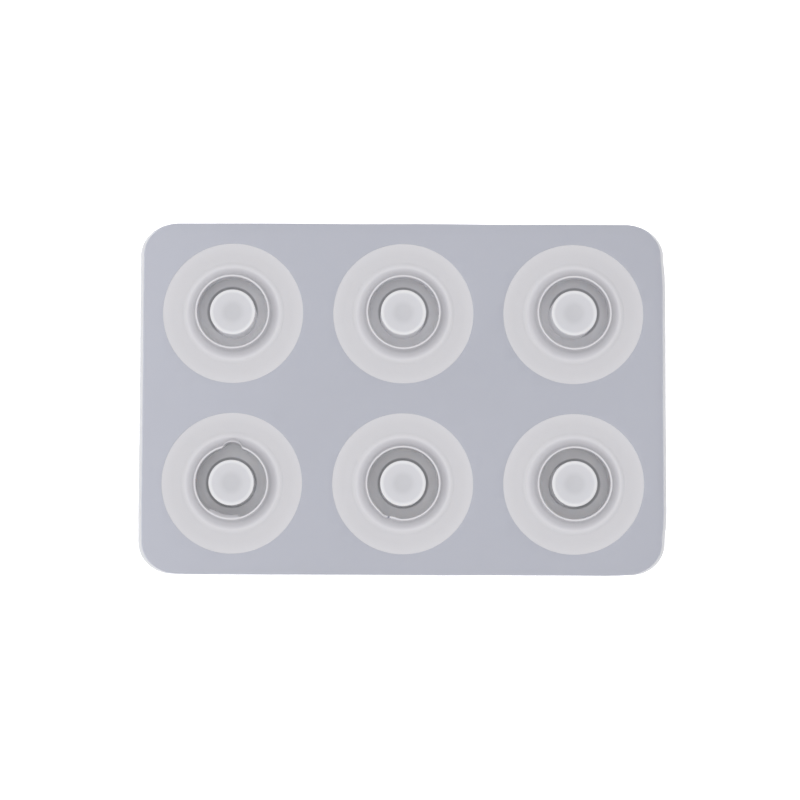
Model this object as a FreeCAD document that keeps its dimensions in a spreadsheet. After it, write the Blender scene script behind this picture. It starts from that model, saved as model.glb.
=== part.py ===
"""Resin casting mould: a soft slab with six identical cavities, each poured through a raised collar.

Each cavity casts a low candle holder. The wide disc under the thin skin is its foot, the gap between
the collar and the core is its neck, and the core post leaves the socket for a 22 mm taper candle.
The slab is one moulding in the hand. It is modelled here as its moulded regions, which meet face to
face: the base sheet, the block with its wells, and a skin, a collar and a core for each cavity.

Frame: the origin is the middle of the underside, X runs along the three columns, Y from the front
row to the back row, and Z is up.
"""
import FreeCAD, Part
import math
import os

import Sketcher

doc = FreeCAD.newDocument("resin_casting_mould")

# ---------------------------------------------------------------------------------------------
# Driving dimensions, in millimetres and degrees
# ---------------------------------------------------------------------------------------------

SIZES = {
    # the slab
    "block_length": 257.0,
    "block_width": 171.5,
    "block_height": 15.0,
    "corner_radius": 14.0,
    "top_edge_radius": 2.8,
    "base_edge_radius": 1.0,
    "base_thickness": 3.0,
    # the layout of the six cavities
    "cavity_pitch": 82.5,
    # the disc of each cavity
    "disc_radius": 34.1,
    "disc_recess": 0.3,
    "skin_thickness": 2.2,
    # the pour collar
    "collar_bore_radius": 17.0,
    "collar_rim_width": 1.1,
    "collar_flare_radius": 4.8,
    "collar_rise": 6.7,
    # the core post
    "post_radius": 11.0,
    "post_rise": 4.85,
    "post_edge_radius": 0.7,
    "dimple_radius": 4.4,
    "dimple_depth": 0.35,
    # the pouring nick and the small slit, cut in two of the collars
    "nick_width": 7.6,
    "nick_depth": 6.0,
    "nick_angle": 88.0,
    "slit_width": 2.4,
    "slit_depth": 4.4,
    "slit_angle": 247.0,
}

sizes = doc.addObject("Spreadsheet::Sheet", "sizes")
for row, (alias, value) in enumerate(SIZES.items(), start=1):
    sizes.set(f"A{row}", alias)
    sizes.set(f"B{row}", str(value))
    sizes.setAlias(f"B{row}", alias)
doc.recompute()

# Heights above the underside, written for setExpression
DISC_TOP = "(sizes.block_height - sizes.disc_recess)"
CAVITY_ROOF = f"({DISC_TOP} - sizes.skin_thickness)"
COLLAR_TOP = "(sizes.block_height + sizes.collar_rise)"
POST_TOP = "(sizes.block_height + sizes.post_rise)"

# Radii of the collar, written for setExpression
RIM_OUTSIDE = "(sizes.collar_bore_radius + sizes.collar_rim_width)"
COLLAR_FOOT = f"({RIM_OUTSIDE} + sizes.collar_flare_radius)"

# Cavity names, with their column and row counted from the middle of the slab
CAVITIES = {
    "back_left": (-1, 0.5),
    "back_middle": (0, 0.5),
    "back_right": (1, 0.5),
    "front_left": (-1, -0.5),
    "front_middle": (0, -0.5),
    "front_right": (1, -0.5),
}

# The cut in a collar's rim: its width, its depth below the rim and its direction, in degrees from +X
CUTS = {
    "front_left": ("sizes.nick_width", "sizes.nick_depth", "sizes.nick_angle"),
    "front_middle": ("sizes.slit_width", "sizes.slit_depth", "sizes.slit_angle"),
}


# ---------------------------------------------------------------------------------------------
# Helpers
# ---------------------------------------------------------------------------------------------

def origin_plane(body, role):
    """One of the body's own origin planes or axes, such as XY_Plane or Z_Axis."""
    return next(item for item in body.Origin.OriginFeatures if item.Role == role)


def new_body(name):
    """An empty body whose Label names its file."""
    body = doc.addObject("PartDesign::Body", name)
    body.Label = name
    return body


def new_sketch(body, name, plane, height=None):
    """A sketch on one of the body's origin planes, raised by an expression where one is given."""
    sketch = body.newObject("Sketcher::SketchObject", f"{body.Name}_{name}")
    sketch.AttachmentSupport = [(origin_plane(body, plane), "")]
    sketch.MapMode = "FlatFace"
    if height:
        sketch.setExpression("AttachmentOffset.Base.z", height)
    return sketch


def evaluate(expression):
    """The present value of an expression over the spreadsheet."""
    return float(sizes.evalExpression(expression))


def bind(sketch, constraint, name, expression):
    """Add a driving constraint and tie it to the spreadsheet."""
    index = sketch.addConstraint(constraint)
    sketch.renameConstraint(index, name)
    sketch.setExpression(f"Constraints.{name}", expression)


def place_in_cavity(body, cavity):
    """Move a body from the slab's origin to the axis of its cavity."""
    column, line = CAVITIES[cavity]
    body.setExpression("Placement.Base.x", f"{column} * sizes.cavity_pitch")
    body.setExpression("Placement.Base.y", f"{line} * sizes.cavity_pitch")


def rounded_rectangle(sketch):
    """The slab's outline, centred on the origin, with a quarter circle at each corner."""
    half_x = SIZES["block_length"] / 2
    half_y = SIZES["block_width"] / 2
    radius = SIZES["corner_radius"]
    turns = [(1, 1, 0), (-1, 1, 90), (-1, -1, 180), (1, -1, 270)]
    arcs = []
    for side_x, side_y, start in turns:
        centre = FreeCAD.Vector(side_x * (half_x - radius), side_y * (half_y - radius), 0)
        circle = Part.Circle(centre, FreeCAD.Vector(0, 0, 1), radius)
        arc = Part.ArcOfCircle(circle, math.radians(start), math.radians(start + 90))
        arcs.append(sketch.addGeometry(arc))
    for place, first in enumerate(arcs):
        second = arcs[(place + 1) % 4]
        line = Part.LineSegment(
            sketch.Geometry[first].EndPoint,
            sketch.Geometry[second].StartPoint,
        )
        edge = sketch.addGeometry(line)
        sketch.addConstraint(Sketcher.Constraint("Tangent", edge, 1, first, 2))
        sketch.addConstraint(Sketcher.Constraint("Tangent", edge, 2, second, 1))
        if place % 2 == 0:
            sketch.addConstraint(Sketcher.Constraint("Horizontal", edge))
        else:
            sketch.addConstraint(Sketcher.Constraint("Vertical", edge))
    for arc in arcs[1:]:
        sketch.addConstraint(Sketcher.Constraint("Equal", arcs[0], arc))
    bind(sketch, Sketcher.Constraint("Radius", arcs[0], radius), "corner", "sizes.corner_radius")
    sketch.addConstraint(Sketcher.Constraint("Symmetric", arcs[0], 3, arcs[2], 3, -1, 1))
    bind(
        sketch,
        Sketcher.Constraint("DistanceX", arcs[1], 3, arcs[0], 3, 2 * (half_x - radius)),
        "straight_x",
        "sizes.block_length - 2 * sizes.corner_radius",
    )
    bind(
        sketch,
        Sketcher.Constraint("DistanceY", arcs[2], 3, arcs[1], 3, 2 * (half_y - radius)),
        "straight_y",
        "sizes.block_width - 2 * sizes.corner_radius",
    )


def outline_edges(feature, height):
    """Names of the outline's edges at one height. The full circles of the wells are left out."""
    names = []
    for number, edge in enumerate(feature.Shape.Edges, start=1):
        box = edge.BoundBox
        is_level = abs(box.ZMin - height) < 1e-4 and abs(box.ZMax - height) < 1e-4
        if is_level and not edge.isClosed():
            names.append(f"Edge{number}")
    return names


def round_edges(body, base, name, edges, radius):
    """A fillet whose radius is tied to the spreadsheet."""
    fillet = body.newObject("PartDesign::Fillet", f"{body.Name}_{name}")
    fillet.Base = (base, edges)
    fillet.setExpression("Radius", radius)
    return fillet


# ---------------------------------------------------------------------------------------------
# The slab: base sheet and block
# ---------------------------------------------------------------------------------------------

def make_base_sheet():
    """The floor that closes all six cavities from below."""
    body = new_body("base_sheet")
    outline = new_sketch(body, "outline", "XY_Plane")
    rounded_rectangle(outline)
    sheet = body.newObject("PartDesign::Pad", "base_sheet_pad")
    sheet.Profile = outline
    sheet.setExpression("Length", "sizes.base_thickness")
    doc.recompute()
    round_edges(body, sheet, "edge", outline_edges(sheet, 0.0), "sizes.base_edge_radius")
    return body


def make_mould_block():
    """The thick walls around and between the cavities, with a round well for each."""
    body = new_body("mould_block")
    outline = new_sketch(body, "outline", "XY_Plane", "sizes.base_thickness")
    rounded_rectangle(outline)
    block = body.newObject("PartDesign::Pad", "mould_block_pad")
    block.Profile = outline
    block.setExpression("Length", "sizes.block_height - sizes.base_thickness")
    doc.recompute()
    solid_volume = block.Shape.Volume

    wells = new_sketch(body, "wells", "XY_Plane", "sizes.block_height")
    for cavity, (column, line) in CAVITIES.items():
        x = column * SIZES["cavity_pitch"]
        y = line * SIZES["cavity_pitch"]
        circle = Part.Circle(FreeCAD.Vector(x, y, 0), FreeCAD.Vector(0, 0, 1), SIZES["disc_radius"])
        well = wells.addGeometry(circle)
        radius = Sketcher.Constraint("Radius", well, SIZES["disc_radius"])
        bind(wells, radius, f"radius_{cavity}", "sizes.disc_radius")
        if column == 0:
            wells.addConstraint(Sketcher.Constraint("PointOnObject", well, 3, -2))
        else:
            bind(
                wells,
                Sketcher.Constraint("DistanceX", -1, 1, well, 3, x),
                f"across_{cavity}",
                f"{column} * sizes.cavity_pitch",
            )
        bind(
            wells,
            Sketcher.Constraint("DistanceY", -1, 1, well, 3, y),
            f"along_{cavity}",
            f"{line} * sizes.cavity_pitch",
        )
    pocket = body.newObject("PartDesign::Pocket", "mould_block_wells")
    pocket.Profile = wells
    pocket.setExpression("Length", "sizes.block_height - sizes.base_thickness")
    doc.recompute()

    well_area = math.pi * SIZES["disc_radius"] ** 2
    expected = solid_volume - len(CAVITIES) * well_area * (SIZES["block_height"] - SIZES["base_thickness"])
    assert abs(pocket.Shape.Volume - expected) < 1.0, "the wells were not cut"
    edges = outline_edges(pocket, SIZES["block_height"])
    round_edges(body, pocket, "edge", edges, "sizes.top_edge_radius")
    return body


# ---------------------------------------------------------------------------------------------
# The parts of one cavity
# ---------------------------------------------------------------------------------------------

def arc_between(start, end, centre, clockwise):
    """A circular arc about a centre, from one corner to the next."""
    circle = Part.Circle(centre, FreeCAD.Vector(0, 0, 1), (start - centre).Length)
    first = math.atan2(start.y - centre.y, start.x - centre.x)
    last = math.atan2(end.y - centre.y, end.x - centre.x)
    if clockwise:
        first, last = last, first
    if last <= first:
        last += 2 * math.pi
    return Part.ArcOfCircle(circle, first, last)


def tie_point(sketch, geometry, point, name, radius, height):
    """Tie a point of the profile to its distance from the axis and its height, where they are given."""
    if radius == "0":
        sketch.addConstraint(Sketcher.Constraint("PointOnObject", geometry, point, -2))
    elif radius:
        across = Sketcher.Constraint("DistanceX", -1, 1, geometry, point, evaluate(radius))
        bind(sketch, across, f"radius_{name}", radius)
    if height:
        along = Sketcher.Constraint("DistanceY", -1, 1, geometry, point, evaluate(height))
        bind(sketch, along, f"height_{name}", height)


def draw_profile(sketch, corners, arcs=None):
    """A closed profile to turn about the axis.

    corners maps a name to (radius, height) as expressions. arcs maps the corner that an arc starts
    from to (centre radius, centre height, clockwise); every other side is straight.
    """
    arcs = arcs or {}
    names = list(corners)
    values = {}
    for name, (radius, height) in corners.items():
        values[name] = FreeCAD.Vector(evaluate(radius), evaluate(height), 0)
    sides = {}
    first_point = {}
    for name, following in zip(names, names[1:] + names[:1]):
        first_point[name] = 1
        if name in arcs:
            radius, height, clockwise = arcs[name]
            centre = FreeCAD.Vector(evaluate(radius), evaluate(height), 0)
            side = arc_between(values[name], values[following], centre, clockwise)
            first_point[name] = 2 if clockwise else 1
        else:
            side = Part.LineSegment(values[name], values[following])
        sides[name] = sketch.addGeometry(side)
    for name, following in zip(names, names[1:] + names[:1]):
        ends = (sides[name], 3 - first_point[name], sides[following], first_point[following])
        sketch.addConstraint(Sketcher.Constraint("Coincident", *ends))
        tie_point(sketch, sides[name], first_point[name], name, *corners[name])
        if name in arcs:
            radius, height, _ = arcs[name]
            level = abs(values[name].y - values[following].y) < 1e-9
            centre = (None, height) if level else (radius, None)
            tie_point(sketch, sides[name], 3, f"centre_{name}", *centre)


def turn_about_axis(body, sketch):
    """A full revolution of the profile about the body's Z axis."""
    turned = body.newObject("PartDesign::Revolution", f"{body.Name}_turned")
    turned.Profile = sketch
    turned.ReferenceAxis = (origin_plane(body, "Z_Axis"), [""])
    turned.Angle = 360.0
    doc.recompute()
    return turned


def make_cavity_skin(cavity):
    """The thin disc of silicone that roofs the wide part of the cavity."""
    body = new_body(f"cavity_skin_{cavity}")
    sketch = new_sketch(body, "section", "XZ_Plane")
    corners = {
        "inner_low": (COLLAR_FOOT, CAVITY_ROOF),
        "outer_low": ("sizes.disc_radius", CAVITY_ROOF),
        "outer_high": ("sizes.disc_radius", DISC_TOP),
        "inner_high": (COLLAR_FOOT, DISC_TOP),
    }
    draw_profile(sketch, corners)
    turn_about_axis(body, sketch)
    place_in_cavity(body, cavity)
    return body


def make_pour_collar(cavity):
    """The raised ring that the resin is poured through, flared out to meet the skin."""
    body = new_body(f"pour_collar_{cavity}")
    sketch = new_sketch(body, "section", "XZ_Plane")
    rim_centre = "(sizes.collar_bore_radius + sizes.collar_rim_width / 2)"
    rim_spring = f"({COLLAR_TOP} - sizes.collar_rim_width / 2)"
    flare_top = f"({DISC_TOP} + sizes.collar_flare_radius)"
    corners = {
        "bore_low": ("sizes.collar_bore_radius", CAVITY_ROOF),
        "foot_low": (COLLAR_FOOT, CAVITY_ROOF),
        "foot_high": (COLLAR_FOOT, DISC_TOP),
        "flare_high": (RIM_OUTSIDE, flare_top),
        "rim_outer": (RIM_OUTSIDE, rim_spring),
        "rim_inner": ("sizes.collar_bore_radius", rim_spring),
    }
    arcs = {
        "foot_high": (COLLAR_FOOT, flare_top, True),
        "rim_outer": (rim_centre, rim_spring, False),
    }
    draw_profile(sketch, corners, arcs)
    turned = turn_about_axis(body, sketch)
    if cavity in CUTS:
        cut_rim(body, turned, CUTS[cavity])
    place_in_cavity(body, cavity)
    return body


def make_core_post(cavity):
    """The core that stands on the base sheet and leaves the candle socket in the casting."""
    body = new_body(f"core_post_{cavity}")
    sketch = new_sketch(body, "section", "XZ_Plane")
    edge_inside = "(sizes.post_radius - sizes.post_edge_radius)"
    edge_below = f"({POST_TOP} - sizes.post_edge_radius)"
    dimple_low = f"({POST_TOP} - sizes.dimple_depth)"
    dimple_sphere = "(sizes.dimple_radius ^ 2 + sizes.dimple_depth ^ 2) / (2 * sizes.dimple_depth)"
    corners = {
        "axis_low": ("0", "sizes.base_thickness"),
        "foot": ("sizes.post_radius", "sizes.base_thickness"),
        "side_high": ("sizes.post_radius", edge_below),
        "top_outer": (edge_inside, POST_TOP),
        "top_inner": ("sizes.dimple_radius", POST_TOP),
        "axis_high": ("0", dimple_low),
    }
    arcs = {
        "side_high": (edge_inside, edge_below, False),
        "top_inner": ("0", f"({dimple_low} + {dimple_sphere})", True),
    }
    draw_profile(sketch, corners, arcs)
    turn_about_axis(body, sketch)
    place_in_cavity(body, cavity)
    return body


def cut_rim(body, collar, cut):
    """A V cut through the rim, made by a sketch that stands across it and a pocket that runs outwards."""
    width, depth, angle = cut
    sketch = new_sketch(body, "cut", "YZ_Plane")
    half = evaluate(width) / 2
    top = evaluate(COLLAR_TOP)
    low = top - evaluate(depth)
    corners = [(-half, top), (0, low), (half, top)]
    for start, end in zip(corners, corners[1:] + corners[:1]):
        line = Part.LineSegment(FreeCAD.Vector(*start, 0), FreeCAD.Vector(*end, 0))
        sketch.addGeometry(line)
    for side in range(3):
        sketch.addConstraint(Sketcher.Constraint("Coincident", side, 2, (side + 1) % 3, 1))
    sketch.addConstraint(Sketcher.Constraint("PointOnObject", 0, 2, -2))
    sketch.addConstraint(Sketcher.Constraint("Symmetric", 1, 2, 0, 1, -2))
    bind(sketch, Sketcher.Constraint("DistanceX", 0, 1, 1, 2, 2 * half), "width", width)
    bind(sketch, Sketcher.Constraint("DistanceY", -1, 1, 1, 2, top), "top", COLLAR_TOP)
    bind(sketch, Sketcher.Constraint("DistanceY", -1, 1, 0, 2, low), "low", f"{COLLAR_TOP} - {depth}")
    pocket = body.newObject("PartDesign::Pocket", f"{body.Name}_pocket")
    pocket.Profile = sketch
    pocket.setExpression("Length", f"{COLLAR_FOOT} + 1")
    pocket.Reversed = True
    doc.recompute()
    assert pocket.Shape.Volume < collar.Shape.Volume - 0.5, "the rim was not cut"
    body.setExpression("Placement.Rotation.Angle", angle)


# ---------------------------------------------------------------------------------------------
# Build, check and write
# ---------------------------------------------------------------------------------------------

bodies = [make_base_sheet(), make_mould_block()]
for cavity_name in CAVITIES:
    bodies.append(make_cavity_skin(cavity_name))
    bodies.append(make_pour_collar(cavity_name))
    bodies.append(make_core_post(cavity_name))
doc.recompute()

for item in doc.Objects:
    failed = [state for state in item.State if state in ("Invalid", "Error")]
    assert not failed, f"{item.Name} failed: {failed}"

os.makedirs("parts", exist_ok=True)
for body in bodies:
    shape = body.Shape
    assert not shape.isNull() and shape.isValid(), f"{body.Label} has no sound shape"
    assert len(shape.Solids) == 1, f"{body.Label} is not one solid"
    shape.exportStep(f"parts/{body.Label}.step")
    box = shape.BoundBox
    print(f"{body.Label}: {shape.Volume:.0f} mm3, z {box.ZMin:.2f} to {box.ZMax:.2f}")
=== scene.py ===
# %% [markdown]
# # A silicone casting mould with six cavities
#
# The real mould is one soft moulding of translucent silicone: a thick slab, and in it six round
# cavities for low candle holders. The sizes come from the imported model, which is loaded first and
# stays fixed. Every new piece takes its place and its size from the boxes of that model's nodes.

# %% Load the frame
import math

import bmesh
import bpy
from mathutils import Matrix, Vector


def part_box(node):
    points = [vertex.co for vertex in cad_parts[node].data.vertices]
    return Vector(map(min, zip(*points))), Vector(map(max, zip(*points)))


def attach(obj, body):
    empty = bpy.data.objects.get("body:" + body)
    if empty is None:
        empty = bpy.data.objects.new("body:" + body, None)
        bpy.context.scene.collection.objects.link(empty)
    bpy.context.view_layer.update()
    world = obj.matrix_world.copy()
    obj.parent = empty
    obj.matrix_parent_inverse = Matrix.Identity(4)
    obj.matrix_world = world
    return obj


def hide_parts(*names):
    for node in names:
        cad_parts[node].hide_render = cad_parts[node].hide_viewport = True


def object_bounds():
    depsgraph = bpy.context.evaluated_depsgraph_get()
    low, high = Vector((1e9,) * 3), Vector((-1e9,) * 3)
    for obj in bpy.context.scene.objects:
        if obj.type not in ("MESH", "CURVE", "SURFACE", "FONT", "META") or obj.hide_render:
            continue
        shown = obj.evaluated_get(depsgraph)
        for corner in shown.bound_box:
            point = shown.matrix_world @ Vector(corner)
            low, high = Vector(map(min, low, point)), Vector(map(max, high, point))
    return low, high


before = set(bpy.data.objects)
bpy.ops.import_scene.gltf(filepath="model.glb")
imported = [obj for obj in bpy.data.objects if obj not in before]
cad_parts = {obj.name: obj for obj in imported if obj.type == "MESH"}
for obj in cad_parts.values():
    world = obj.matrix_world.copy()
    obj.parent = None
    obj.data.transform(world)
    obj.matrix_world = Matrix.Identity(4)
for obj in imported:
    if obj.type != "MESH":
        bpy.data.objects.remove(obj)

cad_low, cad_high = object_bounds()
MM = 0.001
print("CAD box, mm:", [round(v / MM, 1) for v in (*cad_low, *cad_high)])

# %% [markdown]
# ## Where the cavities are
#
# A cavity's axis runs through its core post, so the middle of the post's box gives its place. All six
# cavities are alike, so one of them gives the radii and the heights for all. The rim's width and the
# flare's radius are the only sizes of a cavity that no box holds. A rim of about a millimetre is usual
# on a soft pour collar, and the flare is a quarter circle.

# %% Measure the cavities
PLACES = ["back_left", "back_middle", "back_right", "front_left", "front_middle", "front_right"]


def middle_of(node):
    """The middle of a node's box."""
    low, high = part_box(node)
    return (low + high) / 2


axes = {place: middle_of(f"core_post_{place}") for place in PLACES}

first_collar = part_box("pour_collar_back_left")
first_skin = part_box("cavity_skin_back_left")
first_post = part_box("core_post_back_left")

POST_RADIUS = (first_post[1].x - first_post[0].x) / 2
FOOT_RADIUS = (first_collar[1].x - first_collar[0].x) / 2
DISC_RADIUS = (first_skin[1].x - first_skin[0].x) / 2
FLOOR_Z = first_post[0].z
POST_TOP = first_post[1].z
SKIN_LOW = first_skin[0].z
SKIN_TOP = first_skin[1].z
COLLAR_TOP = first_collar[1].z
DECK_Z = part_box("mould_block")[1].z
PITCH = axes["back_right"].x - axes["back_middle"].x

RIM_WIDTH = 1.1 * MM
FLARE_RADIUS = 4.8 * MM
RIM_OUTSIDE = FOOT_RADIUS - FLARE_RADIUS
BORE_RADIUS = RIM_OUTSIDE - RIM_WIDTH
print("bore, rim and foot radii, mm:", [round(v / MM, 2) for v in (BORE_RADIUS, RIM_OUTSIDE, FOOT_RADIUS)])

# %% [markdown]
# ## The camera
#
# The mould is seen from almost straight above, from a little in front of its middle and a little to
# the left. A long lens keeps the cavities nearly round. The camera leans less than it stands off, so
# its lens is shifted a little to bring the mould into the middle. The camera comes before the pieces,
# so that each of them can be judged from where it will be seen.

# %% Place the camera
CAMERA_HEIGHT = 0.985
CAMERA_FRONT = 0.085
CAMERA_LEFT = 0.024
CAMERA_LEAN = math.radians(3.7)
CAMERA_ROLL = math.radians(0.22)
LENS = 90.55
SENSOR = 36.0
AIM = Vector((-1.45 * MM, -0.75 * MM, DECK_Z))

bpy.ops.object.select_all(action="DESELECT")
bpy.ops.object.camera_add(location=(-CAMERA_LEFT, -CAMERA_FRONT, CAMERA_HEIGHT))
camera = bpy.context.object
camera.name = "camera"
camera.data.lens = LENS
camera.data.sensor_width = SENSOR
camera.data.clip_start = 0.01
turn = Matrix.Rotation(CAMERA_LEAN, 3, "X") @ Matrix.Rotation(CAMERA_ROLL, 3, "Z")
camera.rotation_euler = turn.to_euler()
toward = turn.transposed() @ (AIM - camera.location)
camera.data.shift_x = toward.x / -toward.z * LENS / SENSOR
camera.data.shift_y = toward.y / -toward.z * LENS / SENSOR
bpy.context.scene.camera = camera
print("camera to deck, mm:", round(toward.length / MM))
print("lens shift:", round(camera.data.shift_x, 3), round(camera.data.shift_y, 3))

# %% [markdown]
# ## Helpers for shaping
#
# Most of the mould is turned work: rings about a cavity's axis. By hand, a ring is a circle that is
# extruded again and again, and each new loop is scaled and lifted to its place on the outline. The
# helpers below do just that, so each piece can be written as a short list of loops.

# %% Shape turned pieces
SIDES = 192


def begin_edit(piece, kind):
    """Open a piece for editing vertices, edges or faces."""
    bpy.ops.object.mode_set(mode="EDIT")
    bpy.ops.mesh.select_mode(type=kind)


def start_circle(name, axis, radius, height):
    """A bare circle about a cavity's axis, open for editing and selected all over."""
    bpy.ops.object.select_all(action="DESELECT")
    bpy.ops.mesh.primitive_circle_add(vertices=SIDES, radius=radius, location=(axis.x, axis.y, height))
    bpy.ops.object.transform_apply(location=True, rotation=True, scale=True)
    piece = bpy.context.object
    piece.name = name
    begin_edit(piece, "EDGE")
    bpy.ops.mesh.select_all(action="SELECT")
    return piece


def next_loop(axis, old, new):
    """Extrude the selected loop, then scale and lift it from one (radius, height) to the next."""
    ratio = new[0] / old[0]
    bpy.ops.mesh.extrude_edges_move(TRANSFORM_OT_translate={"value": (0, 0, new[1] - old[1])})
    bpy.ops.transform.resize(value=(ratio, ratio, 1.0), center_override=(axis.x, axis.y, new[1]))


def turned(name, axis, outline, closed):
    """A turned piece from its outline of (radius, height).

    A closed outline is a ring, whose last loop joins its first. An open one is a solid, and its two
    end loops are drawn together on the axis.
    """
    piece = start_circle(name, axis, *outline[0])
    if not closed:
        bpy.ops.mesh.extrude_edges_move(TRANSFORM_OT_translate={"value": (0, 0, 0)})
        bpy.ops.mesh.merge(type="CENTER")
        bpy.ops.mesh.select_all(action="DESELECT")
        select_loop(piece, axis, *outline[0])
    steps = outline[1:] + outline[:1] if closed else outline[1:]
    for old, new in zip(outline, steps):
        next_loop(axis, old, new)
    if not closed:
        bpy.ops.mesh.extrude_edges_move(TRANSFORM_OT_translate={"value": (0, 0, 0)})
        bpy.ops.mesh.merge(type="CENTER")
    bpy.ops.mesh.select_all(action="SELECT")
    bpy.ops.mesh.remove_doubles(threshold=0.004 * MM)
    bpy.ops.mesh.normals_make_consistent(inside=False)
    bpy.ops.object.mode_set(mode="OBJECT")
    bpy.ops.object.shade_smooth_by_angle(angle=math.radians(50))
    return piece


def select_loop(piece, axis, radius, height):
    """Select the edges of the loop at one radius and height."""
    mesh = bmesh.from_edit_mesh(piece.data)
    for edge in mesh.edges:
        on_loop = True
        for vertex in edge.verts:
            reach = (vertex.co.xy - axis.xy).length
            on_loop = on_loop and abs(reach - radius) < 0.01 * MM and abs(vertex.co.z - height) < 0.01 * MM
        edge.select = on_loop
    mesh.select_flush_mode()
    bmesh.update_edit_mesh(piece.data)


def arc(centre, radius, start, end, steps):
    """Points of (radius, height) along an arc of the outline, with angles in degrees."""
    points = []
    for step in range(steps + 1):
        angle = math.radians(start + (end - start) * step / steps)
        points.append((centre[0] + radius * math.cos(angle), centre[1] + radius * math.sin(angle)))
    return points


def finish_piece(piece, body_slot, *nodes):
    """Let a piece ride on the mould and stand for its CAD nodes."""
    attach(piece, "root")
    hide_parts(*nodes)
    print(piece.name, "has", len(piece.data.vertices), "vertices")
    return piece


# %% [markdown]
# ## The core posts
#
# Each core is a plain post that leaves the candle's socket. Its top is not flat: the edge is soft, a
# faint bead runs round just inside it, and the middle is sunk a little where the silicone shrank as
# it cured. The outline is turned from the foot up over the edge to the middle.

# %% Turn the posts
POST_EDGE = 0.4 * MM
BEAD_RADIUS = 9.6 * MM
BEAD_HEIGHT = 0.10 * MM
SINK_RADIUS = 5.0 * MM
SINK_DEPTH = 0.45 * MM
BEAD_SPREAD = 0.7 * MM
FOOT_IN_FLOOR = 0.3 * MM
TOP_STEP = 0.45 * MM
SIDE_LEVELS = 8


def post_outline():
    """The post from its foot to the middle of its top."""
    top = POST_TOP - BEAD_HEIGHT
    outline = [(POST_RADIUS, FLOOR_Z - FOOT_IN_FLOOR), (POST_RADIUS, FLOOR_Z + 1 * MM)]
    for level in range(2, SIDE_LEVELS):
        outline.append((POST_RADIUS, FLOOR_Z + (level / SIDE_LEVELS) * (top - FLOOR_Z)))
    outline += arc((POST_RADIUS - POST_EDGE, top - POST_EDGE), POST_EDGE, 0, 80, 8)
    reach = POST_RADIUS - POST_EDGE
    while reach > 0.25 * MM:
        bead = BEAD_HEIGHT * math.exp(-((reach - BEAD_RADIUS) / BEAD_SPREAD) ** 2)
        sink = SINK_DEPTH * math.exp(-((reach / SINK_RADIUS) ** 2))
        outline.append((reach, top + bead - sink))
        reach -= TOP_STEP
    return outline


posts = {}
for place in PLACES:
    posts[place] = turned(f"core_{place}", axes[place], post_outline(), closed=False)
print(len(posts), "posts turned")

# %% [markdown]
# ## The skins
#
# A skin is the thin disc between the slab and the collar. It is all that lies over the wide hollow of
# a cavity, so it sags a little half way along. Its edges run a little way into the slab and the
# collar, because on the real moulding they are one and no joint shows.

# %% Turn the skins
SKIN_SAG = 0.15 * MM
TUCK = 0.5 * MM
SKIN_STEP = 0.5 * MM


def skin_height(radius):
    """The skin's upper surface: flat at the collar and at the slab, with a shallow sag between."""
    along = min(max((radius - FOOT_RADIUS) / (DISC_RADIUS - FOOT_RADIUS), 0.0), 1.0)
    return SKIN_TOP - SKIN_SAG * math.sin(math.pi * along) ** 2


def skin_outline():
    """The skin, from under the collar's foot out to the slab's wall, and back along its underside."""
    inner = FOOT_RADIUS - TUCK
    outer = DISC_RADIUS + TUCK
    outline = []
    radius = inner
    while radius < outer:
        outline.append((radius, skin_height(radius)))
        radius += SKIN_STEP
    outline.append((outer, skin_height(outer)))
    outline.append((outer, SKIN_LOW))
    outline.append(((inner + outer) / 2, SKIN_LOW - 0.5 * SKIN_SAG))
    outline.append((inner, SKIN_LOW))
    return outline


skins = {}
for place in PLACES:
    skins[place] = turned(f"skin_{place}", axes[place], skin_outline(), closed=True)
print(len(skins), "skins turned")

# %% [markdown]
# ## The pour collars
#
# A collar stands on the skin and flares out to meet it. The rim is only a millimetre wide and fully
# rounded, and a painted highlight in the collar's tone makes it show as a fine bright line. The wall
# inside is turned with a slight draft, wider at the rim, and rounds over into the roof of the hollow
# below. At its foot the flare runs out over a low, soft bead, which also carries a painted highlight,
# until it lies level with the skin, so that no line shows between the two.

# %% Turn the collars
RIM_DROP = 0.25 * MM
DRAFT = 0.15 * MM
LOWER_ROUND = 0.9 * MM
BEAD_AT = FOOT_RADIUS + 0.3 * MM
BEAD_RISE = 0.12 * MM
BEAD_WIDTH = 0.9 * MM
RUN_OUT = 1.7 * MM
BELOW_SKIN = 0.2 * MM
LOWER_WIDTH = 1.0 * MM


def foot_bead(radius):
    """How far the soft bead at the collar's foot stands up at a radius."""
    return BEAD_RISE * math.exp(-((radius - BEAD_AT) / BEAD_WIDTH) ** 2)


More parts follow.
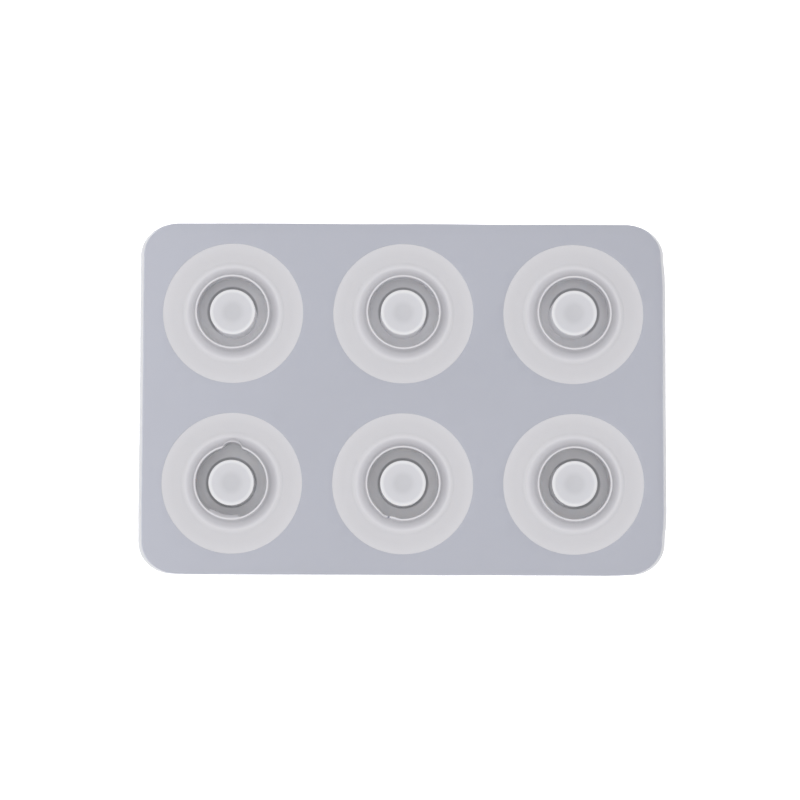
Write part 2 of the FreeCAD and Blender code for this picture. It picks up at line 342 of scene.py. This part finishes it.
def collar_outline():
    """The collar: up the bore, over the rim, down the flare and back underneath."""
    rim_top = COLLAR_TOP - RIM_DROP
    half = RIM_WIDTH / 2
    rim_z = rim_top - half
    flare_top = SKIN_TOP + FLARE_RADIUS
    outline = arc((BORE_RADIUS + LOWER_ROUND, SKIN_LOW + LOWER_ROUND), LOWER_ROUND, 270, 180, 5)
    wall_low = SKIN_LOW + LOWER_ROUND
    for step in range(1, 12):
        share = step / 12
        draft = DRAFT * (share - 1) * share
        outline.append((BORE_RADIUS + draft, wall_low + share * (rim_z - wall_low)))
    outline += arc((BORE_RADIUS + half, rim_z), half, 180, 0, 10)
    for step in range(1, 4):
        outline.append((RIM_OUTSIDE, rim_z + step / 4 * (flare_top - rim_z)))
    for radius, height in arc((FOOT_RADIUS, flare_top), FLARE_RADIUS, 180, 270, 20):
        outline.append((radius, height + foot_bead(radius)))
    for step in range(1, 9):
        radius = FOOT_RADIUS + RUN_OUT * step / 8
        outline.append((radius, skin_height(radius) + foot_bead(radius)))
    edge = FOOT_RADIUS + RUN_OUT + 0.02 * MM
    outline.append((edge, SKIN_TOP - BELOW_SKIN))
    outline.append((edge, SKIN_LOW + BELOW_SKIN))
    outline.append((FOOT_RADIUS - LOWER_WIDTH, SKIN_LOW))
    return outline


collars = {}
for place in PLACES:
    collars[place] = turned(f"collar_{place}", axes[place], collar_outline(), closed=True)
print(len(collars), "collars turned")

# %% [markdown]
# ## The nick and the slit
#
# Two rims are damaged. The front left one has a nick where the soft wall was pulled outwards, which
# is made by taking hold of a short stretch of the wall and moving it with a soft falloff, as a thumb
# would. Across from the nick its wall bulges in a little below the rim, made the same way. The front
# middle one has a narrow slit: its two lips are pressed apart, and a thin wedge is cut out between.

# %% Press the nick into the front left rim
NICK_ANGLE = math.radians(88)
NICK_DROP = 0.5 * MM
NICK_OUT = 2.3 * MM
NICK_GRIP = 0.7 * MM
NICK_REACH = 4.1 * MM


def outward(angle):
    """The level direction away from a cavity's axis at an angle."""
    return Vector((math.cos(angle), math.sin(angle), 0))


def wall_at(axis, angle, grip):
    """A test for points of the wall near one angle, from top to bottom."""
    point = axis + outward(angle) * (BORE_RADIUS + RIM_WIDTH / 2)
    return lambda place: (place.xy - point.xy).length < grip


def press(piece, held, shift, reach, falloff):
    """Move the held points of a piece, and what is near them with a falloff."""
    bpy.ops.object.select_all(action="DESELECT")
    piece.select_set(True)
    bpy.context.view_layer.objects.active = piece
    begin_edit(piece, "VERT")
    bpy.ops.mesh.select_all(action="DESELECT")
    mesh = bmesh.from_edit_mesh(piece.data)
    for vertex in mesh.verts:
        vertex.select = held(vertex.co)
    mesh.select_flush_mode()
    bmesh.update_edit_mesh(piece.data)
    bpy.ops.transform.translate(
        value=shift,
        use_proportional_edit=True,
        proportional_edit_falloff=falloff,
        proportional_size=reach,
    )
    bpy.ops.object.mode_set(mode="OBJECT")


press(
    collars["front_left"],
    wall_at(axes["front_left"], NICK_ANGLE, NICK_GRIP),
    shift=outward(NICK_ANGLE) * NICK_OUT - Vector((0, 0, NICK_DROP)),
    reach=NICK_REACH,
    falloff="SPHERE",
)
print("nick pressed")

# %% Press the bulge into the same collar, opposite the nick
BULGE_ANGLE = math.radians(258)
BULGE_HALF = math.radians(20)
BULGE_IN = 1.7 * MM
BULGE_REACH = 3.6 * MM
BULGE_LOW = COLLAR_TOP - 5.2 * MM
BULGE_HIGH = COLLAR_TOP - 3.2 * MM


def on_bulge(place):
    """The point lies on the wall inside, in a band a little below the rim."""
    out = place - axes["front_left"]
    aside = abs(math.atan2(out.y, out.x) % math.tau - BULGE_ANGLE)
    inside = out.xy.length < BORE_RADIUS + 0.3 * MM
    return inside and aside < BULGE_HALF and BULGE_LOW < place.z < BULGE_HIGH


press(
    collars["front_left"],
    on_bulge,
    shift=outward(BULGE_ANGLE) * -BULGE_IN,
    reach=BULGE_REACH,
    falloff="SMOOTH",
)
print("bulge pressed")

# %% Cut the slit in the front middle rim
SLIT_ANGLE = math.radians(247)
WEDGE_WIDTH = 1.8 * MM
WEDGE_TIP = 0.15
WEDGE_REACH = 6 * MM
SLIT_DEPTH = 2.2 * MM
LIP_ASIDE = math.radians(6)
LIP_SPREAD = 0.5 * MM
LIP_GRIP = 0.7 * MM
LIP_REACH = 4 * MM


def cut_slit(piece, axis, angle):
    """Take a thin wedge out of the rim at one angle.

    The wedge is as tall above the rim as it is deep in it, and it narrows downwards to its tip, so
    it is about a millimetre wide where it enters.
    """
    bpy.ops.object.select_all(action="DESELECT")
    reach = BORE_RADIUS + RIM_WIDTH / 2
    bpy.ops.mesh.primitive_cube_add(size=1, location=(reach, 0, COLLAR_TOP))
    wedge = bpy.context.object
    wedge.scale = (WEDGE_REACH, WEDGE_WIDTH, 2 * SLIT_DEPTH)
    bpy.ops.object.transform_apply(location=True, rotation=True, scale=True)
    begin_edit(wedge, "FACE")
    mesh = bmesh.from_edit_mesh(wedge.data)
    for face in mesh.faces:
        face.select = face.normal.z < -0.5
    bmesh.update_edit_mesh(wedge.data)
    bpy.ops.transform.resize(value=(1, WEDGE_TIP, 1), center_override=(reach, 0, 0))
    bpy.ops.object.mode_set(mode="OBJECT")
    wedge.rotation_euler.z = angle
    wedge.location = (axis.x, axis.y, 0)
    bpy.ops.object.transform_apply(location=True, rotation=True, scale=True)
    bpy.ops.object.select_all(action="DESELECT")
    bpy.context.view_layer.objects.active = piece
    piece.select_set(True)
    cut = piece.modifiers.new("slit", "BOOLEAN")
    cut.operation = "DIFFERENCE"
    cut.solver = "EXACT"
    cut.object = wedge
    bpy.ops.object.modifier_apply(modifier=cut.name)
    bpy.data.objects.remove(wedge)
    bpy.ops.object.shade_smooth_by_angle(angle=math.radians(50))


for side in (-1, 1):
    lip_angle = SLIT_ANGLE + side * LIP_ASIDE
    press(
        collars["front_middle"],
        wall_at(axes["front_middle"], lip_angle, LIP_GRIP),
        shift=outward(lip_angle) * LIP_SPREAD * -side,
        reach=LIP_REACH,
        falloff="SMOOTH",
    )
cut_slit(collars["front_middle"], axes["front_middle"], SLIT_ANGLE)
print("slit cut")

# %% [markdown]
# ## The slab
#
# The block and the floor under it are one moulding, so one mesh stands for both. It starts as a box.
# The ends lean in a few millimetres below the deck, as on a tray with eased edges. The upright edges
# are bevelled into the round corners, then the outline is softened. Six cylinders are taken out of it
# for the wells, and a grid of straight cuts gives the flat deck enough points to be a little uneven,
# as a soft slab is. Last, three corners are drawn in, each by its own small amount, because a soft slab
# never lies quite square.

# %% Box, corners and edges
CORNER_RADIUS = 15.5 * MM
DECK_INSET = (2.5 * MM, 0.2 * MM)
SHOULDER_Z = 11.0 * MM
SHOULDER_ROUND = 1.6 * MM
DECK_ROUND = 0.5 * MM
LOW_ROUND = 1.0 * MM
SIDE_SLACK = 0.35 * MM
WELL_LIP = 0.1 * MM
WELL_RADIUS = DISC_RADIUS - 0.1 * MM


def select_edges(piece, test):
    """Select the edges that pass a test on their two ends."""
    bpy.ops.mesh.select_all(action="DESELECT")
    mesh = bmesh.from_edit_mesh(piece.data)
    for edge in mesh.edges:
        edge.select = test(edge.verts[0].co, edge.verts[1].co)
    mesh.select_flush_mode()
    bmesh.update_edit_mesh(piece.data)


def level_at(height):
    """A test for edges that lie at one height."""
    return lambda a, b: abs(a.z - height) < 0.01 * MM and abs(b.z - height) < 0.01 * MM


slab_size = cad_high - cad_low
half_x = slab_size.x / 2 - SIDE_SLACK
half_y = slab_size.y / 2 - SIDE_SLACK
bpy.ops.object.select_all(action="DESELECT")
bpy.ops.mesh.primitive_cube_add(size=1, location=(0, 0, DECK_Z / 2))
slab = bpy.context.object
slab.name = "slab"
slab.scale = (2 * half_x, 2 * half_y, DECK_Z)
bpy.ops.object.transform_apply(location=True, rotation=True, scale=True)
begin_edit(slab, "EDGE")
bpy.ops.mesh.select_all(action="SELECT")
bpy.ops.mesh.bisect(plane_co=(0, 0, SHOULDER_Z), plane_no=(0, 0, 1))
select_edges(slab, level_at(DECK_Z))
inset_x, inset_y = DECK_INSET
draft = ((half_x - inset_x) / half_x, (half_y - inset_y) / half_y, 1)
bpy.ops.transform.resize(value=draft, center_override=(0, 0, DECK_Z))
select_edges(slab, lambda a, b: abs(a.z - b.z) > 1 * MM)
bpy.ops.mesh.bevel(offset=CORNER_RADIUS, segments=20, affect="EDGES")
ROUNDINGS = [(DECK_Z, DECK_ROUND, 4), (SHOULDER_Z, SHOULDER_ROUND, 6), (0, LOW_ROUND, 4)]
for level, rounding, steps in ROUNDINGS:
    select_edges(slab, level_at(level))
    bpy.ops.mesh.bevel(offset=rounding, segments=steps, affect="EDGES")
bpy.ops.object.mode_set(mode="OBJECT")
print("slab outline:", len(slab.data.vertices), "vertices")

# %% Wells
for place in PLACES:
    bpy.ops.object.select_all(action="DESELECT")
    bpy.ops.mesh.primitive_cylinder_add(
        vertices=SIDES,
        radius=WELL_RADIUS,
        depth=2 * (DECK_Z - FLOOR_Z),
        location=(axes[place].x, axes[place].y, DECK_Z),
    )
    cutter = bpy.context.object
    cut = slab.modifiers.new("well", "BOOLEAN")
    cut.operation = "DIFFERENCE"
    cut.solver = "EXACT"
    cut.object = cutter
    bpy.context.view_layer.objects.active = slab
    bpy.ops.object.modifier_apply(modifier=cut.name)
    bpy.data.objects.remove(cutter)


def on_well_edge(a, b):
    """Both ends lie on the deck, on the edge of a well."""
    for axis in axes.values():
        near_a = abs((a.xy - axis.xy).length - WELL_RADIUS) < 0.05 * MM
        near_b = abs((b.xy - axis.xy).length - WELL_RADIUS) < 0.05 * MM
        if near_a and near_b and min(a.z, b.z) > DECK_Z - 0.01 * MM:
            return True
    return False


slab.select_set(True)
begin_edit(slab, "EDGE")
select_edges(slab, on_well_edge)
bpy.ops.mesh.bevel(offset=WELL_LIP, segments=3, affect="EDGES")
bpy.ops.object.mode_set(mode="OBJECT")
print("slab with wells:", len(slab.data.vertices), "vertices")

# %% A grid of cuts
GRID = 6 * MM
begin_edit(slab, "VERT")
for across, normal in ((slab_size.x, (1, 0, 0)), (slab_size.y, (0, 1, 0))):
    count = int(across / GRID)
    for step in range(1, count):
        place_on_axis = -across / 2 + across * step / count
        bpy.ops.mesh.select_all(action="SELECT")
        bpy.ops.mesh.bisect(plane_co=Vector(normal) * place_on_axis, plane_no=normal)
bpy.ops.mesh.select_all(action="SELECT")
bpy.ops.mesh.remove_doubles(threshold=0.003 * MM)
bpy.ops.object.mode_set(mode="OBJECT")
bpy.ops.object.shade_smooth_by_angle(angle=math.radians(40))
print("slab with its grid:", len(slab.data.vertices), "vertices")

# %% Draw the corners in
CORNER_GRIP = 16 * MM
CORNER_REACH = 14 * MM
CORNER_PULLS = [
    ((1, -1), (-1.0 * MM, 0.5 * MM)),
    ((1, 1), (-0.9 * MM, 0.0)),
    ((-1, -1), (0.1 * MM, 0.3 * MM)),
]


def corner_at(sides):
    """A test for the slab's points near one corner, from top to bottom."""
    corner = Vector((sides[0] * half_x, sides[1] * half_y))
    return lambda place: (place.xy - corner).length < CORNER_GRIP


for sides, pull in CORNER_PULLS:
    press(slab, corner_at(sides), shift=(*pull, 0), reach=CORNER_REACH, falloff="SMOOTH")
print("corners drawn in")

# %% [markdown]
# ## Softness
#
# Nothing on a silicone mould is quite straight or round. The same gentle unevenness runs through
# every piece, so neighbours still meet: each is displaced by one shared, slow noise along X, along Y
# and, above the underside, along Z.

# %% Let everything go a little soft
SWAY = 0.55 * MM
LIFT = 0.22 * MM
SWAYS = [("X", SWAY), ("Y", SWAY), ("Z", LIFT)]
NOISE_SIZES = {"X": 70 * MM, "Y": 58.1 * MM, "Z": 42 * MM}


def slow_noise(name, size):
    """A slow, cloudy noise for moving a surface."""
    noise = bpy.data.textures.new(name, "CLOUDS")
    noise.noise_scale = size
    noise.noise_depth = 1
    return noise


def soften(piece):
    """Displace a piece by the shared noise. Its underside stays flat."""
    above = piece.vertex_groups.new(name="above")
    for vertex in piece.data.vertices:
        share = min(max(vertex.co.z / (0.6 * DECK_Z), 0.0), 1.0)
        above.add([vertex.index], share, "REPLACE")
    bpy.ops.object.select_all(action="DESELECT")
    piece.select_set(True)
    bpy.context.view_layer.objects.active = piece
    for direction, strength in SWAYS:
        sway = piece.modifiers.new(f"sway_{direction}", "DISPLACE")
        sway.texture = noises[direction]
        sway.texture_coords = "GLOBAL"
        sway.direction = direction
        sway.strength = strength
        sway.mid_level = 0.5
        if direction == "Z":
            sway.vertex_group = "above"
        bpy.ops.object.modifier_apply(modifier=sway.name)
    piece.vertex_groups.clear()


noises = {}
for direction, size in NOISE_SIZES.items():
    noises[direction] = slow_noise(f"sway_{direction}", size)
for piece in [slab, *posts.values(), *skins.values(), *collars.values()]:
    soften(piece)
print("softened")

# %% [markdown]
# ## The silicone
#
# The mould is one material all over, and it looks different from place to place because of how much
# of it the light passes. The thick deck is a cool grey, the thin skins are nearly white, and the
# cores and collars lie between. So one recipe is written once, and each region gets its own colours.
# The surface is satin with a very fine grain, and light soaks about a millimetre into it.

# %% A recipe for silicone
def linear(red, green, blue):
    """A colour in linear light, from its usual 0 to 255 values."""
    channels = []
    for value in (red, green, blue):
        share = value / 255
        channels.append(share / 12.92 if share <= 0.04045 else ((share + 0.055) / 1.055) ** 2.4)
    return (*channels, 1.0)


def add(tree, kind, **settings):
    """Add a node. Settings name its properties, or its inputs where no property has that name."""
    node = tree.nodes.new(kind)
    for key, value in settings.items():
        if hasattr(node, key):
            setattr(node, key, value)
        else:
            node.inputs[key.replace("_", " ")].default_value = value
    return node


def silicone(name, shade, cloud, soak, rough, glow=0.0):
    """A silicone with a colour, a cloudiness around it, a soaking depth, a roughness and a painted glow.

    Returns the material with its tree, its shader and the socket that carries its colour, so that
    rings and gradients can be laid over it.
    """
    material = bpy.data.materials.new(name)
    material.use_nodes = True
    tree = material.node_tree
    tree.nodes.clear()
    output = add(tree, "ShaderNodeOutputMaterial")
    shader = add(tree, "ShaderNodeBsdfPrincipled")
    shader.inputs["IOR"].default_value = 1.41
    shader.inputs["Subsurface Weight"].default_value = 0.4
    shader.inputs["Subsurface Radius"].default_value = (1.0, 0.95, 0.9)
    shader.inputs["Subsurface Scale"].default_value = soak
    shader.inputs["Emission Color"].default_value = (0.94, 0.94, 1.0, 1.0)
    shader.inputs["Emission Strength"].default_value = glow
    tree.links.new(shader.outputs["BSDF"], output.inputs["Surface"])
    place = add(tree, "ShaderNodeTexCoord")

    slow = add(tree, "ShaderNodeTexNoise", Scale=14.0, Detail=3.0, Roughness=0.55)
    tree.links.new(place.outputs["Object"], slow.inputs["Vector"])
    tint = add(tree, "ShaderNodeMix", data_type="RGBA")
    tint.inputs["A"].default_value = linear(*(value - cloud for value in shade))
    tint.inputs["B"].default_value = linear(*(value + cloud for value in shade))
    tree.links.new(slow.outputs["Fac"], tint.inputs["Factor"])
    tree.links.new(tint.outputs["Result"], shader.inputs["Base Color"])

    streaks = add(tree, "ShaderNodeTexNoise", Scale=160.0, Detail=4.0, Roughness=0.6)
    tree.links.new(place.outputs["Object"], streaks.inputs["Vector"])
    gloss = add(tree, "ShaderNodeMapRange")
    gloss.inputs["To Min"].default_value = rough - 0.07
    gloss.inputs["To Max"].default_value = rough + 0.07
    tree.links.new(streaks.outputs["Fac"], gloss.inputs["Value"])
    tree.links.new(gloss.outputs["Result"], shader.inputs["Roughness"])

    grain = add(tree, "ShaderNodeTexNoise", Scale=2400.0, Detail=2.0, Roughness=0.5)
    tree.links.new(place.outputs["Object"], grain.inputs["Vector"])
    waves = add(tree, "ShaderNodeTexNoise", Scale=90.0, Detail=2.0, Roughness=0.4)
    tree.links.new(place.outputs["Object"], waves.inputs["Vector"])
    coarse = add(tree, "ShaderNodeBump", Strength=0.10, Distance=0.4 * MM)
    tree.links.new(waves.outputs["Fac"], coarse.inputs["Height"])
    fine = add(tree, "ShaderNodeBump", Strength=0.08, Distance=0.05 * MM)
    tree.links.new(grain.outputs["Fac"], fine.inputs["Height"])
    tree.links.new(coarse.outputs["Normal"], fine.inputs["Normal"])
    tree.links.new(fine.outputs["Normal"], shader.inputs["Normal"])
    return material, tree, shader, tint


# %% [markdown]
# ## Rings of tone
#
# Round each cavity the tone changes with the distance from its axis: a painted highlight on the rim
# and the collar's foot, painted shade on the flare between, and a skin that grows whiter to its edge.
# All cavities share one pattern: the place is folded back into one pitch, so every axis reads as
# zero, and a colour ramp turns the distance from it into a tone. On the slab the tone follows the
# height instead: the deck is cool and grey, and painted light makes the sides below it paler. Painted
# light from the left also makes the deck darken a little from the left end to the right.
#
# Down in the gap round a core, the well and the core's side get a faint painted glow, an emission that
# stands in for light coming up through the thin floor, and the sides of the back row a stronger painted
# glow. The floor carries a ring of painted shade close round each core. That ring drifts outwards from
# the point that the camera stands over, so that from there it reads as one even line round the core.

# %% Tone by distance or by height
RAMP_REACH = 40 * MM
DRIFT_FROM = Vector((-0.024, -0.085))
DRIFT = 0.017


def axis_distance(tree, drift=0.0):
    """The distance from the nearest cavity's axis, as a socket, with an outward drift if given."""
    place = add(tree, "ShaderNodeTexCoord")
    shift = add(tree, "ShaderNodeMapping", vector_type="POINT")
    start = DRIFT_FROM * drift / (1 + drift)
    shift.inputs["Location"].default_value = (start.x, start.y - PITCH / 2, 0)
    shift.inputs["Scale"].default_value = Vector((1, 1, 1)) / (1 + drift)
    fold = add(tree, "ShaderNodeVectorMath", operation="WRAP")
    fold.inputs[1].default_value = (PITCH / 2, PITCH / 2, 1)
    fold.inputs[2].default_value = (-PITCH / 2, -PITCH / 2, -1)
    flat = add(tree, "ShaderNodeVectorMath", operation="MULTIPLY")
    flat.inputs[1].default_value = (1, 1, 0)
    reach = add(tree, "ShaderNodeVectorMath", operation="LENGTH")
    tree.links.new(place.outputs["Object"], shift.inputs["Vector"])
    tree.links.new(shift.outputs["Vector"], fold.inputs[0])
    tree.links.new(fold.outputs["Vector"], flat.inputs[0])
    tree.links.new(flat.outputs["Vector"], reach.inputs[0])
    return reach.outputs["Value"]


def painted_shade_distance(tree):
    """The distance from a core, for the ring of painted shade on the floor, which drifts outwards."""
    return axis_distance(tree, DRIFT)


def height(tree):
    """The height above the underside, as a socket."""
    place = add(tree, "ShaderNodeTexCoord")
    parts = add(tree, "ShaderNodeSeparateXYZ")
    tree.links.new(place.outputs["Object"], parts.inputs["Vector"])
    return parts.outputs["Z"]


def across(tree):
    """The way from the left end of the slab to the right, shrunk to the ramp's reach, as a socket."""
    place = add(tree, "ShaderNodeTexCoord")
    parts = add(tree, "ShaderNodeSeparateXYZ")
    shrink = add(tree, "ShaderNodeMapRange")
    shrink.inputs["From Min"].default_value = cad_low.x
    shrink.inputs["From Max"].default_value = cad_high.x
    shrink.inputs["To Max"].default_value = RAMP_REACH
    tree.links.new(place.outputs["Object"], parts.inputs["Vector"])
    tree.links.new(parts.outputs["X"], shrink.inputs["Value"])
    return shrink.outputs["Result"]


def lay_tone(recipe, measure, stops):
    """Multiply a silicone's colour by tones at (millimetres, shade) along a measure."""
    material, tree, shader, tint = recipe
    share = add(tree, "ShaderNodeMath", operation="DIVIDE")
    share.inputs[1].default_value = RAMP_REACH
    ramp = add(tree, "ShaderNodeValToRGB")
    points = ramp.color_ramp.elements
    while len(points) < len(stops):
        points.new(0.5)
    for point, (distance, shade) in zip(points, stops):
        point.position = distance * MM / RAMP_REACH
        point.color = linear(*shade)
    both = add(tree, "ShaderNodeMix", data_type="RGBA", blend_type="MULTIPLY")
    both.inputs["Factor"].default_value = 1.0
    tree.links.new(measure(tree), share.inputs[0])
    tree.links.new(share.outputs["Value"], ramp.inputs["Fac"])
    tree.links.new(tint.outputs["Result"], both.inputs["A"])
    tree.links.new(ramp.outputs["Color"], both.inputs["B"])
    tree.links.new(both.outputs["Result"], shader.inputs["Base Color"])
    return material, tree, shader, both


# %% Silicone for each region
NEAR_WHITE = (250, 250, 250)

# Painted light: the slab's sides below the deck are paler than the grey deck.
SLAB_TONES = [
    (0.0, (222, 223, 227)),
    (14.0, (222, 223, 227)),
    (14.5, (203, 205, 216)),
    (16.0, (203, 205, 216)),
]
# Painted light: the deck is brightest at its left end and darkens a little towards the right.
DECK_PAINTED_LIGHT = [
    (0.0, (255, 255, 255)),
    (12.0, (249, 249, 249)),
    (40.0, (247, 247, 247)),
]
# Painted shade: a dark ring on each well's floor close round the core, with near white beyond it.
FLOOR_PAINTED_SHADE_TONES = [
    (0.0, (176, 176, 180)),
    (11.8, (176, 176, 180)),
    (12.5, (248, 248, 251)),
    (34.0, (248, 248, 251)),
]
# The cores' sides come as two copies of one silicone: the back row's keep one pale tone and get a stronger
# painted glow, and the front row's darken towards the top, a painted shade.
BACK_SIDE_TONES = [
    (0.0, (248, 248, 251)),
    (20.0, (248, 248, 251)),
]
SIDE_TONES = [
    (0.0, (246, 246, 250)),
    (3.0, (246, 246, 250)),
    (12.0, (250, 250, 252)),
    (16.5, (250, 250, 252)),
    (18.0, (196, 196, 200)),
    (20.0, (180, 180, 184)),
]
# Painted highlight on the rim at 17.5 mm and at the collar's foot at 22.5 mm, painted shade on the flare
# between them; the skin grows whiter towards its edge.
CAVITY_TONES = [
    (16.0, (226, 225, 230)),
    (17.0, (228, 227, 231)),
    (17.5, (240, 239, 243)),
    (18.1, (214, 213, 217)),
    (18.6, (204, 203, 208)),
    (19.6, (215, 214, 219)),
    (20.6, (218, 217, 222)),
    (21.6, (225, 224, 229)),
    (22.5, (233, 232, 236)),
    (23.8, (227, 226, 230)),
    (25.5, (226, 225, 229)),
    (29.0, (226, 225, 229)),
    (34.0, (231, 230, 234)),
]
# The core's top is darker in the middle; its soft edge carries a painted highlight, with a thin painted
# shade just outside it.
CORE_TONES = [
    (0.0, (217, 217, 222)),
    (3.6, (217, 217, 222)),
    (6.0, (226, 226, 231)),
    (9.0, (229, 229, 234)),
    (10.2, (248, 248, 251)),
    (10.8, (248, 248, 251)),
    (11.1, (218, 218, 222)),
]
# Painted glow: an emission on the wells and the cores' sides, stronger on the back row's sides.
GAP_PAINTED_GLOW = 0.02
BACK_PAINTED_GLOW = 0.13

THIN_SOAK = 0.8 * MM
DEEP_SOAK = 1.2 * MM
deck = silicone("deck_silicone", NEAR_WHITE, 4, THIN_SOAK, 0.42)
deck = lay_tone(deck, height, SLAB_TONES)
deck_silicone = lay_tone(deck, across, DECK_PAINTED_LIGHT)[0]
well = silicone("well_silicone", NEAR_WHITE, 3, DEEP_SOAK, 0.40, GAP_PAINTED_GLOW)
well_silicone = lay_tone(well, painted_shade_distance, FLOOR_PAINTED_SHADE_TONES)[0]
side = silicone("side_silicone", NEAR_WHITE, 3, DEEP_SOAK, 0.40, GAP_PAINTED_GLOW)
side_silicone = lay_tone(side, height, SIDE_TONES)[0]
back_side = silicone("back_side_glowing_silicone", NEAR_WHITE, 3, DEEP_SOAK, 0.40, BACK_PAINTED_GLOW)
back_side_glowing_silicone = lay_tone(back_side, height, BACK_SIDE_TONES)[0]
skin = silicone("skin_silicone", NEAR_WHITE, 3, THIN_SOAK, 0.48)
skin_silicone = lay_tone(skin, axis_distance, CAVITY_TONES)[0]
collar = silicone("collar_silicone", NEAR_WHITE, 3, THIN_SOAK, 0.34)
collar_silicone = lay_tone(collar, axis_distance, CAVITY_TONES)[0]
core = silicone("core_silicone", NEAR_WHITE, 3, DEEP_SOAK, 0.40)
core_silicone = lay_tone(core, axis_distance, CORE_TONES)[0]


def dress(piece, material):
    """Give a piece one material."""
    piece.data.materials.clear()
    piece.data.materials.append(material)


def dress_faces(piece, material, test):
    """Give a second material to the faces that pass a test on their middle and normal."""
    piece.data.materials.append(material)
    second = len(piece.data.materials) - 1
    for face in piece.data.polygons:
        if test(face.center, face.normal):
            face.material_index = second


def in_well(centre, normal):
    """The face lies below the deck, inside one of the wells."""
    near = min((centre.xy - axis.xy).length for axis in axes.values())
    return near < WELL_RADIUS + 0.5 * MM and centre.z < SKIN_TOP - 0.5 * MM and centre.z > 0.5 * FLOOR_Z


def on_side(centre, normal):
    """The face stands upright."""
    return abs(normal.z) < 0.2


def in_slit(centre, normal):
    """The face is one of those that the slit laid bare."""
    out = centre - axes["front_middle"]
    along = math.cos(SLIT_ANGLE) * out.x + math.sin(SLIT_ANGLE) * out.y
    aside = math.cos(SLIT_ANGLE) * out.y - math.sin(SLIT_ANGLE) * out.x
    near = abs(aside) < 0.55 * WEDGE_WIDTH and along > BORE_RADIUS - 1 * MM
    return near and COLLAR_TOP - SLIT_DEPTH - 0.3 * MM < centre.z < COLLAR_TOP - RIM_DROP - 0.3 * MM


dress(slab, deck_silicone)
dress_faces(slab, well_silicone, in_well)
for place in PLACES:
    dress(skins[place], skin_silicone)
    dress(collars[place], collar_silicone)
    dress(posts[place], core_silicone)
    # The back row's sides take the copy with the stronger painted glow, the front row's the copy with
    # painted shade near the top.
    if place.startswith("back"):
        dress_faces(posts[place], back_side_glowing_silicone, on_side)
    else:
        dress_faces(posts[place], side_silicone, on_side)
# The faces that the slit laid bare take the deck's grey, a painted shade in the gap.
dress_faces(collars["front_middle"], deck_silicone, in_slit)

# %% [markdown]
# ## The table and the light
#
# The mould lies on a plain white table in even, soft light. The table glows a little, as a light
# table does, so that hardly any shadow is left beside the slab.

# %% Table
bpy.ops.object.select_all(action="DESELECT")
bpy.ops.mesh.primitive_plane_add(size=6.0, location=(0, 0, -0.05 * MM))
table = bpy.context.object
table.name = "table"
table_white = bpy.data.materials.new("table_white")
table_white.use_nodes = True
table_shader = table_white.node_tree.nodes["Principled BSDF"]
table_shader.inputs["Base Color"].default_value = (0.9, 0.9, 0.9, 1)
table_shader.inputs["Roughness"].default_value = 0.9
table_shader.inputs["Specular IOR Level"].default_value = 0.0
table_shader.inputs["Emission Color"].default_value = (1, 1, 1, 1)
table_shader.inputs["Emission Strength"].default_value = 0.8
dress(table, table_white)

# %% Light
world = bpy.data.worlds.new("soft_room")
bpy.context.scene.world = world
world.use_nodes = True
world.node_tree.nodes["Background"].inputs["Color"].default_value = (1, 1, 1, 1)
world.node_tree.nodes["Background"].inputs["Strength"].default_value = 0.50


def softbox(name, location, aim, size, power):
    """A square soft light that faces a point."""
    bpy.ops.object.select_all(action="DESELECT")
    bpy.ops.object.light_add(type="AREA", location=location)
    light = bpy.context.object
    light.name = name
    light.data.size = size
    light.data.energy = power
    light.rotation_euler = (Vector(aim) - Vector(location)).to_track_quat("-Z", "Y").to_euler()
    return light


softbox("overhead", (-0.24, -0.06, 1.6), (0, 0, 0), 1.6, 12.7)
bpy.context.scene.view_settings.view_transform = "Standard"
print("table and lights in place")

# %% [markdown]
# ## The pieces on the body
#
# Every piece rides on the mould's one body and stands for the regions that it was made from.

# %% Finish
finish_piece(slab, "block_silicone", "mould_block", "base_sheet")
for place in PLACES:
    finish_piece(skins[place], "skin_silicone", f"cavity_skin_{place}")
    finish_piece(collars[place], "collar_silicone", f"pour_collar_{place}")
    finish_piece(posts[place], "core_silicone", f"core_post_{place}")
